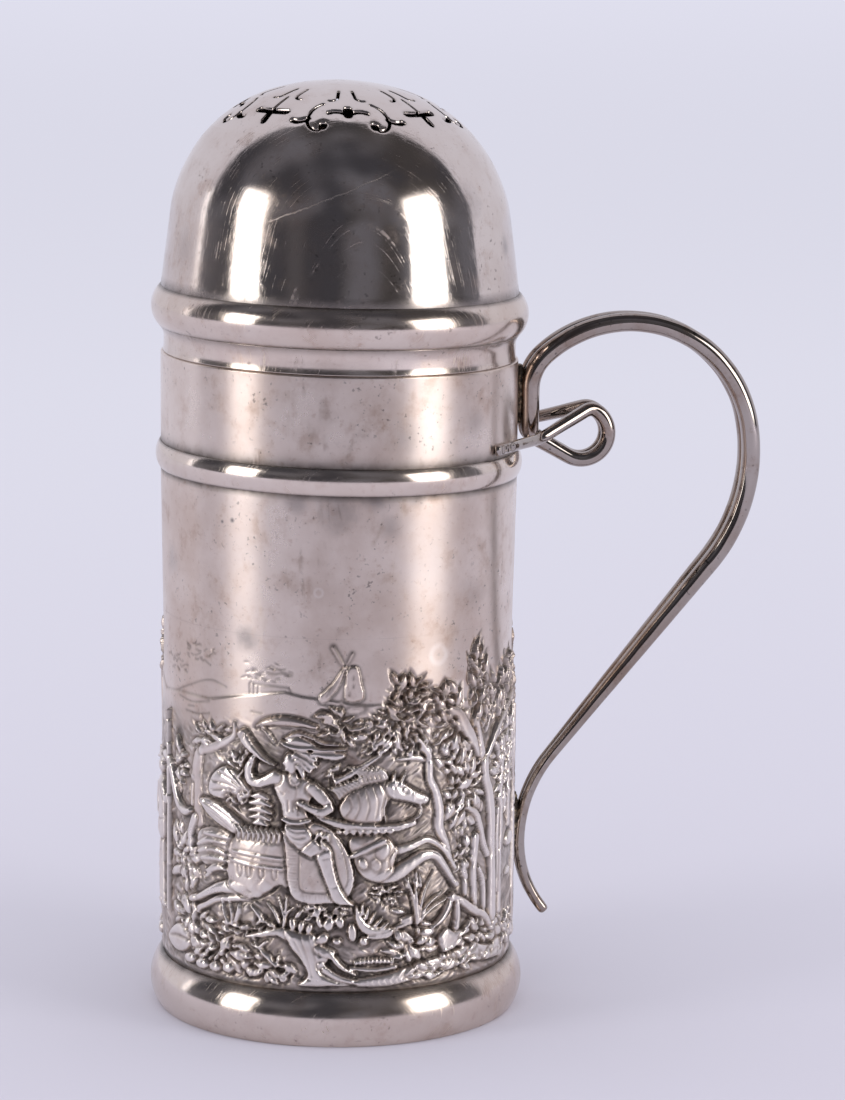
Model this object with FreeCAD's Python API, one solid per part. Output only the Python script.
"""Handled silver muffineer (sugar caster) with a pierced pull-off lid.

The frame has its origin at the centre of the foot's resting face, with +Z up and the handle towards +X.
All lengths are in millimetres.
"""
import FreeCAD
import Part
import math
import os
from FreeCAD import Vector

# Body: a raised sheet-silver cylinder, straight at the top and drawn in a little towards the foot
rim_height = 75.2
rim_radius = 20.2
waist_inset = 0.3
taper_top_drop = 14.2
taper_length = 17.0
body_wall = 0.6

# Foot: a hollow half-round moulding round the bottom of the body
foot_height = 6.2
foot_bulge = 1.5
foot_bulge_height = 3.6
foot_ledge = 0.25
foot_tread_radius = 20.65
foot_wall = 0.55

# Base plate: a slightly kicked-up disc soldered inside the bottom of the body
base_height = 3.2
base_thickness = 0.6
base_kick = 0.8

# Girdle: a flat half-round band below the handle's side arms
girdle_drop = 13.15
girdle_width = 3.0
girdle_bulge = 0.57
girdle_edge = 0.14

# Lid: dome with a straight skirt, a half-round moulding, a collar and the sleeve that fits the body
seat_gap = 0.03
sleeve_clearance = 0.05
sleeve_wall = 0.45
sleeve_depth = 9.0
collar_height = 2.8
collar_inset = 0.32
collar_flare = 0.1
collar_flare_height = 0.9
collar_top_flare = 0.45
collar_top_flare_height = 1.1
moulding_width = 4.6
moulding_bulge = 1.1
moulding_edge = 0.12
dome_skirt_radius = 20.2
dome_rise = 23.3
dome_sheet = 0.5
dome_lean_angle = 7.4
dome_shoulder_radius = 16.8
dome_crown_radius = 26.0

# Piercing of the crown: slots sawn straight down, laid out in repeating sectors
pierced_sectors = 8
pierced_turn_angle = -3.2
fine_slot_width = 0.38
leaf_slot_width = 0.62
lobe_slot_width = 0.85
bulb_radius = 0.52
eye_radius = 0.55

# Piercing outlines, as shares of the dome's skirt radius: sideways from the sector's middle, then outwards
hook_line_shares = ((0.036, 0.322), (0.047, 0.412))
hook_turn_shares = ((0.047, 0.412), (0.060, 0.437), (0.096, 0.443))
bird_body_shares = ((0.0, 0.530), (0.0, 0.572))
bird_wing_shares = ((0.014, 0.566), (0.055, 0.548), (0.104, 0.552))
scroll_upper_shares = ((0.127, 0.472), (0.190, 0.516), (0.217, 0.568))
scroll_lower_shares = ((0.217, 0.568), (0.210, 0.630), (0.163, 0.654))
scroll_bulb_share = (0.141, 0.634)
scroll_leaf_shares = ((0.215, 0.570), (0.256, 0.573), (0.300, 0.550))
cross_stem_shares = ((0.0, 0.440), (0.0, 0.552))
cross_arm_shares = ((-0.100, 0.560), (0.0, 0.572), (0.100, 0.560))
cross_tail_shares = ((0.0, 0.570), (0.006, 0.640))

# Handle: two round wires side by side, drawn thinner down the slope and spread into side arms at the top.
# Drops are counted down from the body's rim.
wire_radius = 1.08
tail_wire_radius = 0.62
wire_joint_gap = 0.02
stem_standoff = 0.44
stem_foot_drop = 9.3
stem_lap = 1.0
arch_radius = 14.4
arch_reach = 11.35
arch_drop = 11.0
stem_bend_radius = 5.2
flank_start_angle = 9.5
tail_height = 18.08
tail_standoff = 0.75
tail_curl_radius = 13.2
tail_curl_angle = 41.0

# Bends above and below the straight slope, as shares of the fall from the arch's centre to the tail
flank_radius_share = 0.4337
tail_bend_radius_share = 0.3469

# Scroll and side arms at the top of the handle
arm_wire_radius = 0.85
arm_end_radius = 0.62
scroll_radius = 3.05
scroll_reach = 6.1
scroll_drop = 9.35
scroll_entry_angle = 30.0
scroll_exit_angle = 52.0
scroll_corner_radius = 1.3
arm_lead = 1.0
arm_bend_radius = 1.4
arm_front_reach = 0.5
arm_front_offset = 4.7
arm_front_bend_radius = 3.0
arm_drop = 9.42
far_arm_lift = 0.9
pad_start_angle = 25.0
pad_end_angle = 39.5
pad_height = 1.15
pad_thickness = 0.75
pad_lap_angle = 6.0
pad_corner_radius = 0.4

# Solder between the handle and the body
solder_width = 2.4
upper_solder_drop = 8.2
upper_solder_length = 6.6
lower_solder_drop = 0.68
lower_solder_length = 6.4
solder_depth = 0.9

# Cutting tools run past what they cut by this much
overrun = 1.0

taper_top_height = rim_height - taper_top_drop
taper_bottom_height = taper_top_height - taper_length
girdle_height = rim_height - girdle_drop
moulding_height = rim_height + seat_gap + collar_height
dome_base_height = moulding_height + moulding_width
waist_radius = rim_radius - waist_inset
collar_radius = rim_radius - collar_inset
collar_bore = rim_radius - body_wall - sleeve_clearance
stem_foot_height = rim_height - stem_foot_drop
arch_height = rim_height - arch_drop
scroll_height = rim_height - scroll_drop
arm_height = rim_height - arm_drop
upper_solder_height = rim_height - upper_solder_drop
lower_solder_height = tail_height - lower_solder_drop
flank_radius = (arch_height - tail_height) * flank_radius_share
tail_bend_radius = (arch_height - tail_height) * tail_bend_radius_share
stem_x = rim_radius + stem_standoff + wire_radius
tail_x = waist_radius + tail_standoff + tail_wire_radius
wire_offset = wire_radius + wire_joint_gap
arm_offset = arm_wire_radius + wire_joint_gap


def point(r, z):
    """A point of a half-section: r out along +X, z up."""
    return Vector(r, 0, z)


def line(start, end):
    return Part.LineSegment(start, end).toShape()


def arc(start, middle, end):
    return Part.Arc(start, middle, end).toShape()


def turned(edges):
    """The solid of revolution about the Z axis of a closed half-section."""
    face = Part.Face(Part.Wire(edges))
    return face.revolve(Vector(0, 0, 0), Vector(0, 0, 1), 360)


def closed_outline(points):
    """Straight edges through the points and back to the first."""
    return [line(a, b) for a, b in zip(points, points[1:] + points[:1])]


def make_body_tube():
    """The body's wall: straight above the taper, drawn in below it."""
    outer = [point(waist_radius, base_height), point(waist_radius, taper_bottom_height),
             point(rim_radius, taper_top_height), point(rim_radius, rim_height)]
    inner = [p - Vector(body_wall, 0, 0) for p in reversed(outer)]
    return turned(closed_outline(outer + inner))


def make_base_plate():
    """A disc inside the wall, kicked up in the middle so that it can't rock or sag."""
    edge_radius = waist_radius - body_wall
    low_edge = point(edge_radius, base_height)
    high_edge = point(edge_radius, base_height + base_thickness)
    low_middle = point(0, base_height + base_kick)
    high_middle = point(0, base_height + base_thickness + base_kick)
    return turned(closed_outline([low_edge, high_edge, high_middle, low_middle]))


def make_foot_ring():
    """A half-round moulding, hollow underneath, that stands on the edge of its own sheet."""
    top = foot_height
    bulge = waist_radius + foot_bulge
    inner_tread = foot_tread_radius - foot_wall
    shoulder = point(waist_radius + foot_ledge, top)
    return turned([
        line(point(waist_radius, top), shoulder),
        arc(shoulder, point(bulge, foot_bulge_height), point(foot_tread_radius, 0)),
        line(point(foot_tread_radius, 0), point(inner_tread, 0)),
        arc(point(inner_tread, 0), point(bulge - foot_wall, foot_bulge_height),
            point(waist_radius, top - foot_wall)),
        line(point(waist_radius, top - foot_wall), point(waist_radius, top)),
    ])


def half_round_band(inner_radius, low, width, bulge, edge):
    """A band with a flat inner side and a rounded outer side with narrow square edges."""
    high = low + width
    return turned([
        line(point(inner_radius, low), point(inner_radius + edge, low)),
        arc(point(inner_radius + edge, low), point(inner_radius + bulge, low + width / 2),
            point(inner_radius + edge, high)),
        line(point(inner_radius + edge, high), point(inner_radius, high)),
        line(point(inner_radius, high), point(inner_radius, low)),
    ])


def make_body_girdle():
    return half_round_band(rim_radius, girdle_height, girdle_width, girdle_bulge, girdle_edge)


def make_lid_moulding():
    return half_round_band(dome_skirt_radius, moulding_height, moulding_width, moulding_bulge, moulding_edge)


def make_lid_collar():
    """The plain collar that rests on the body's rim and flares out under the moulding."""
    low = rim_height + seat_gap
    high = low + collar_height
    return turned([
        line(point(collar_bore, low), point(collar_radius + collar_flare, low)),
        line(point(collar_radius + collar_flare, low), point(collar_radius, low + collar_flare_height)),
        line(point(collar_radius, low + collar_flare_height),
             point(collar_radius, high - collar_top_flare_height)),
        arc(point(collar_radius, high - collar_top_flare_height),
            point(collar_radius + collar_top_flare / 4, high - collar_top_flare_height / 2),
            point(collar_radius + collar_top_flare, high)),
        line(point(collar_radius + collar_top_flare, high), point(collar_bore, high)),
        line(point(collar_bore, high), point(collar_bore, low)),
    ])


def make_lid_sleeve():
    """The sleeve inside the collar that slides into the body and holds the lid."""
    low = rim_height - sleeve_depth
    high = rim_height + seat_gap + collar_height
    bore = collar_bore - sleeve_wall
    outline = [point(bore, low), point(collar_bore, low), point(collar_bore, high), point(bore, high)]
    return turned(closed_outline(outline))


def dome_section(inset):
    """Edges from the skirt's foot to the apex, moved in from the outer surface by the inset.

    The leaning wall, the shoulder arc and the crown arc are tangent to each other, and the crown's
    centre lies on the axis.
    """
    lean = math.radians(dome_lean_angle)
    outward = Vector(math.cos(lean), 0, math.sin(lean))
    upward = Vector(-math.sin(lean), 0, math.cos(lean))
    apex_height = dome_base_height + dome_rise
    crown_centre = point(0, apex_height - dome_crown_radius)
    base = point(dome_skirt_radius, dome_base_height)
    from_crown = base - outward * dome_shoulder_radius - crown_centre
    along = from_crown.dot(upward)
    spread = dome_crown_radius - dome_shoulder_radius
    rise = -along + math.sqrt(along * along - from_crown.dot(from_crown) + spread * spread)
    shoulder_centre = base - outward * dome_shoulder_radius + upward * rise
    shoulder_radius = dome_shoulder_radius - inset
    crown_radius = dome_crown_radius - inset
    to_join = (shoulder_centre - crown_centre).normalize()
    middle = (outward + to_join).normalize()
    crown_middle = (to_join + Vector(0, 0, 1)).normalize()
    skirt_foot = point(dome_skirt_radius - inset, moulding_height)
    wall_foot = base - outward * inset
    skirt_top = point(dome_skirt_radius - inset, wall_foot.z)
    wall_top = shoulder_centre + outward * shoulder_radius
    join = shoulder_centre + to_join * shoulder_radius
    apex = crown_centre + Vector(0, 0, crown_radius)
    edges = [line(skirt_foot, skirt_top)]
    if (wall_foot - skirt_top).Length > 0:
        edges.append(line(skirt_top, wall_foot))
    edges += [
        line(wall_foot, wall_top),
        arc(wall_top, shoulder_centre + middle * shoulder_radius, join),
        arc(join, crown_centre + crown_middle * crown_radius, apex),
    ]
    return edges


def slot_tool(edge, width):
    """A vertical cutter of one width along an edge, with round ends."""
    half = width / 2
    at = (edge.FirstParameter, (edge.FirstParameter + edge.LastParameter) / 2, edge.LastParameter)
    spots = [edge.valueAt(value) for value in at]
    headings = [edge.tangentAt(value) for value in at]
    asides = [heading.cross(Vector(0, 0, 1)) * half for heading in headings]
    right = [spot + aside for spot, aside in zip(spots, asides)]
    left = [spot - aside for spot, aside in zip(spots, asides)]
    outline = Part.Wire([
        along(right),
        arc(right[2], spots[2] + headings[2] * half, left[2]),
        along(left[::-1]),
        arc(left[0], spots[0] - headings[0] * half, right[0]),
    ])
    return Part.Face(outline).extrude(Vector(0, 0, dome_rise + overrun))


def along(points):
    """The straight edge or the arc through three points."""
    first, middle, last = points
    bow = (middle - first).cross(last - first).Length
    return line(first, last) if bow < (last - first).Length * overrun / 1000 else arc(*points)


def plan_point(share, mirror=1):
    """A point of the plan at the dome's base, from a share pair; the sector's middle faces -Y."""
    return Vector(mirror * share[0] * dome_skirt_radius, -share[1] * dome_skirt_radius, dome_base_height)


def slot_along(shares, width, mirror=1):
    """A slot along two points, or along the arc through three."""
    points = [plan_point(share, mirror) for share in shares]
    edge = line(*points) if len(points) == 2 else arc(*points)
    return slot_tool(edge, width)


def round_tool(share, radius, mirror=1):
    return Part.makeCylinder(radius, dome_rise + overrun, plan_point(share, mirror))


def hook_tools(mirror):
    """A straight slit that ends in an outward hook."""
    return [slot_along(hook_line_shares, fine_slot_width, mirror),
            slot_along(hook_turn_shares, fine_slot_width, mirror)]


def scroll_tools(mirror):
    """A C-scroll that ends in a bulb, with a leaf springing from its back."""
    return [slot_along(scroll_upper_shares, fine_slot_width, mirror),
            slot_along(scroll_lower_shares, fine_slot_width, mirror),
            round_tool(scroll_bulb_share, bulb_radius, mirror),
            slot_along(scroll_leaf_shares, leaf_slot_width, mirror)]


def bird_tools():
    """A keyhole with a wing on each side."""
    return [slot_along(bird_body_shares, 2 * eye_radius),
            slot_along(bird_wing_shares, leaf_slot_width, 1),
            slot_along(bird_wing_shares, leaf_slot_width, -1)]


def cross_tools():
    """A stem with a pair of arms and a tail."""
    return [slot_along(cross_stem_shares, fine_slot_width),
            slot_along(cross_arm_shares, lobe_slot_width),
            slot_along(cross_tail_shares, lobe_slot_width)]


def fused(shapes):
    return shapes[0].multiFuse(shapes[1:])


def sector_tools(index):
    """The cutters of one sector: hooks in each, then scrolls and a bird, or a cross, by turns."""
    groups = [hook_tools(1), hook_tools(-1)]
    if index % 2 == 0:
        groups += [scroll_tools(1), scroll_tools(-1), bird_tools()]
    else:
        groups.append(cross_tools())
    tools = [fused(group) for group in groups]
    angle = index * 360 / pierced_sectors + pierced_turn_angle
    for tool in tools:
        tool.rotate(Vector(0, 0, 0), Vector(0, 0, 1), angle)
    return tools


def make_lid_dome():
    """The dome's sheet with its pierced crown."""
    outer = dome_section(0)
    inner = dome_section(dome_sheet)
    foot = line(inner[0].Vertexes[0].Point, outer[0].Vertexes[0].Point)
    apex_height = dome_base_height + dome_rise
    crown = line(point(0, apex_height), point(0, apex_height - dome_sheet))
    dome = turned(outer + [crown] + list(reversed(inner)) + [foot])
    tools = []
    for index in range(pierced_sectors):
        tools += sector_tools(index)
    return dome.cut(tools)


def plane_arc(centre, radius, start_angle, end_angle):
    """An arc in the handle's plane, from angles in degrees, start to end."""
    angles = (start_angle, (start_angle + end_angle) / 2, end_angle)
    return arc(*[centre + radius * unit(angle) for angle in angles])


def unit(angle):
    """The unit vector in the handle's plane at an angle from +X, in degrees."""
    return Vector(math.cos(math.radians(angle)), 0, math.sin(math.radians(angle)))


def corner_arc(before, corner, after, radius):
    """The arc that rounds a corner, with its two ends."""
    towards = (before - corner).normalize()
    away = (after - corner).normalize()
    half = towards.getAngle(away) / 2
    reach = radius / math.tan(half)
    start = corner + towards * reach
    end = corner + away * reach
    centre = corner + (towards + away).normalize() * (radius / math.sin(half))
    middle = centre + (corner - centre).normalize() * radius
    return start, arc(start, middle, end), end


def handle_run():
    """Edges of the handle's long run in its plane, from the tail's tip over the arch to the stem's foot.

    Each stretch is tangent to the next. The stem stands off the body's rim and the tail off its waist.
    The slope is the line that touches the flank's circle on one side and the tail bend's on the other.
    """
    arch_centre = point(stem_x + arch_reach, arch_height)
    bend_x = stem_x + stem_bend_radius
    inner_reach = arch_radius - stem_bend_radius
    side = bend_x - arch_centre.x
    bend_centre = point(bend_x, arch_height + math.sqrt(inner_reach * inner_reach - side * side))
    bend_angle = math.degrees(math.atan2(bend_centre.z - arch_centre.z, side))
    flank_centre = arch_centre - unit(flank_start_angle) * (flank_radius - arch_radius)
    tail_centre = point(tail_x + tail_bend_radius, tail_height)
    span = flank_centre - tail_centre
    crossing = math.asin((flank_radius + tail_bend_radius) / span.Length)
    flank_end_angle = math.degrees(math.atan2(span.z, span.x) - crossing) - 90
    slope_top = flank_centre + unit(flank_end_angle) * flank_radius
    slope_foot = tail_centre - unit(flank_end_angle) * tail_bend_radius
    curl_centre = point(tail_x + tail_curl_radius, tail_height)
    return [
        plane_arc(curl_centre, tail_curl_radius, 180 + tail_curl_angle, 180),
        plane_arc(tail_centre, tail_bend_radius, 180, 180 + flank_end_angle),
        line(slope_foot, slope_top),
        plane_arc(flank_centre, flank_radius, flank_end_angle, flank_start_angle),
        plane_arc(arch_centre, arch_radius, flank_start_angle, (flank_start_angle + bend_angle) / 2),
        plane_arc(arch_centre, arch_radius, (flank_start_angle + bend_angle) / 2, bend_angle),
        plane_arc(bend_centre, stem_bend_radius, bend_angle, 180),
        line(point(stem_x, bend_centre.z), point(stem_x, stem_foot_height)),
    ]


def arm_run(side, lift):
    """Edges of one wire's scroll and side arm, from the stem's foot to the pad on the body.

    The scroll lies in the handle's plane. The arm leaves it at the scroll's top, passes beside the
    stem and comes down on the body's wall.
    """
    aside = Vector(0, side * arm_offset, 0)
    centre = point(stem_x + scroll_reach, scroll_height)
    entry = centre + unit(270 - scroll_entry_angle) * scroll_radius
    slope = math.tan(math.radians(scroll_entry_angle))
    corner = point(stem_x, entry.z + (entry.x - stem_x) * slope)
    start = point(stem_x, stem_foot_height + stem_lap)
    bend_start, bend, bend_end = corner_arc(start, corner, entry, scroll_corner_radius)
    leave = centre + unit(scroll_exit_angle) * scroll_radius
    heading = unit(scroll_exit_angle + 90)
    top_corner = leave + heading * arm_lead + aside
    front = Vector(stem_x + arm_front_reach, side * arm_front_offset, arm_height + lift)
    arm_radius = rim_radius + arm_end_radius
    pad_angle = math.radians(pad_start_angle)
    landing = Vector(arm_radius * math.cos(pad_angle), side * arm_radius * math.sin(pad_angle), arm_height)
    top_start, top_bend, top_end = corner_arc(leave + aside, top_corner, front, arm_bend_radius)
    front_start, front_bend, front_end = corner_arc(top_end, front, landing, arm_front_bend_radius)
    planar = [
        line(start, bend_start),
        bend,
        line(bend_end, entry),
        plane_arc(centre, scroll_radius, 270 - scroll_entry_angle, 360),
        plane_arc(centre, scroll_radius, 0, scroll_exit_angle),
    ]
    for edge in planar:
        edge.translate(aside)
    return planar + [
        line(leave + aside, top_start),
        top_bend,
        line(top_end, front_start),
        front_bend,
        line(front_end, landing),
    ]


def swept(edge, section):
    """The solid that a flat section makes when it is carried from the start of a straight or round edge."""
    if isinstance(edge.Curve, Part.Line):
        return Part.Face(section).extrude(edge.valueAt(edge.LastParameter) - edge.valueAt(edge.FirstParameter))
    turn = math.degrees(edge.LastParameter - edge.FirstParameter)
    return Part.Face(section).revolve(edge.Curve.Center, edge.Curve.Axis, turn)


def round_section(centre, heading, radius):
    return Part.Wire([Part.Circle(centre, heading, radius).toShape()])


def start_of(edge):
    return edge.valueAt(edge.FirstParameter), edge.tangentAt(edge.FirstParameter)


def end_of(edge):
    return edge.valueAt(edge.LastParameter), edge.tangentAt(edge.LastParameter)


def long_wire(side):
    """One wire of the long run: thin along the tail, drawn thicker up the slope, even over the arch."""
    edges = handle_run()
    for edge in edges:
        edge.translate(Vector(0, side * wire_offset, 0))
    curl, bend, slope, *upper = edges
    solids = [swept(edge, round_section(*start_of(edge), tail_wire_radius)) for edge in (curl, bend)]
    solids += [swept(edge, round_section(*start_of(edge), wire_radius)) for edge in upper]
    solids.append(drawn(slope, tail_wire_radius, wire_radius))
    solids.append(Part.makeSphere(tail_wire_radius, start_of(curl)[0]))
    return solids


def arm_wire(side, lift):
    """One wire's scroll and side arm, drawn thinner along the arm."""
    run = arm_run(side, lift)
    scroll = run[:-3]
    arm, front, last = run[-3:]
    solids = [swept(edge, round_section(*start_of(edge), arm_wire_radius)) for edge in scroll]
    solids.append(drawn(arm, arm_wire_radius, arm_end_radius))
    solids += [swept(edge, round_section(*start_of(edge), arm_end_radius)) for edge in (front, last)]
    landing = end_of(last)[0]
    lap = Vector(landing)
    lap = FreeCAD.Rotation(Vector(0, 0, 1), side * pad_lap_angle).multVec(lap)
    lap = lap - Vector(lap.x, lap.y, 0).normalize() * (arm_end_radius - pad_thickness / 2)
    heading = (lap - landing).normalize()
    solids.append(Part.makeLoft([round_section(landing, end_of(last)[1], arm_end_radius),
                                 round_section(lap, heading, pad_thickness / 4)], True, True))
    return solids


def drawn(edge, start_radius, end_radius):
    """A round wire along a straight edge, drawn down from one radius to another."""
    return Part.makeLoft([round_section(*start_of(edge), start_radius),
                          round_section(*end_of(edge), end_radius)], True, True)


def pad(side):
    """The hammered end of a side arm, curved to the body's wall."""
    inner = rim_radius + wire_joint_gap
    low = arm_height - pad_height / 2
    outline = closed_outline([point(inner, low), point(inner + pad_thickness, low),
                              point(inner + pad_thickness, low + pad_height), point(inner, low + pad_height)])
    sweep = pad_end_angle - pad_start_angle
    plate = Part.Face(Part.Wire(outline)).revolve(Vector(0, 0, 0), Vector(0, 0, 1), sweep)
    plate.rotate(Vector(0, 0, 0), Vector(0, 0, 1), pad_start_angle if side > 0 else -pad_end_angle)
    end_angle = math.radians(side * pad_end_angle)
    corners = [edge for edge in plate.Edges if is_end_corner(edge, end_angle)]
    return plate.makeFillet(pad_corner_radius, corners)


def is_end_corner(edge, angle):
    """Whether a short radial edge lies at the given angle round the body."""
    ends = [vertex.Point for vertex in edge.Vertexes]
    radial = len(ends) == 2 and abs(ends[0].z - ends[1].z) < overrun / 1000
    return radial and all(abs(math.atan2(end.y, end.x) - angle) < 0.001 for end in ends)


def make_handle_wire(side, lift):
    pieces = long_wire(side) + arm_wire(side, lift) + [pad(side)]
    return fused(pieces).removeSplitter()


def solder(height, length, radius, wires):
    """A fillet of solder that fills the gap between the body's wall and the handle's wires."""
    block = Part.makeBox(2 * solder_depth, solder_width, length,
                         Vector(radius - solder_depth / 2, -solder_width / 2, height))
    wall = Part.makeCylinder(radius, length + 2 * overrun, Vector(0, 0, height - overrun))
    filled = block.cut(wall)
    for wire in wires:
        filled = filled.cut(wire)
    return max(filled.Solids, key=lambda solid: -solid.CenterOfMass.x)


def main():
    os.makedirs("parts", exist_ok=True)
    near = make_handle_wire(-1, 0)
    far = make_handle_wire(1, far_arm_lift)
    nodes = {
        "body_tube": make_body_tube(),
        "base_plate": make_base_plate(),
        "foot_ring": make_foot_ring(),
        "body_girdle": make_body_girdle(),
        "handle_wire_near": near,
        "handle_wire_far": far,
        "upper_solder": solder(upper_solder_height, upper_solder_length, rim_radius, (near, far)),
        "lower_solder": solder(lower_solder_height, lower_solder_length, waist_radius, (near, far)),
        "lid_dome": make_lid_dome(),
        "lid_moulding": make_lid_moulding(),
        "lid_collar": make_lid_collar(),
        "lid_sleeve": make_lid_sleeve(),
    }
    for name, shape in nodes.items():
        shape.exportStep("parts/" + name + ".step")
        box = shape.BoundBox
        print(name, len(shape.Solids), shape.isValid(), round(shape.Volume, 2),
              [round(v, 2) for v in (box.XMin, box.XMax, box.YMin, box.YMax, box.ZMin, box.ZMax)])


main()
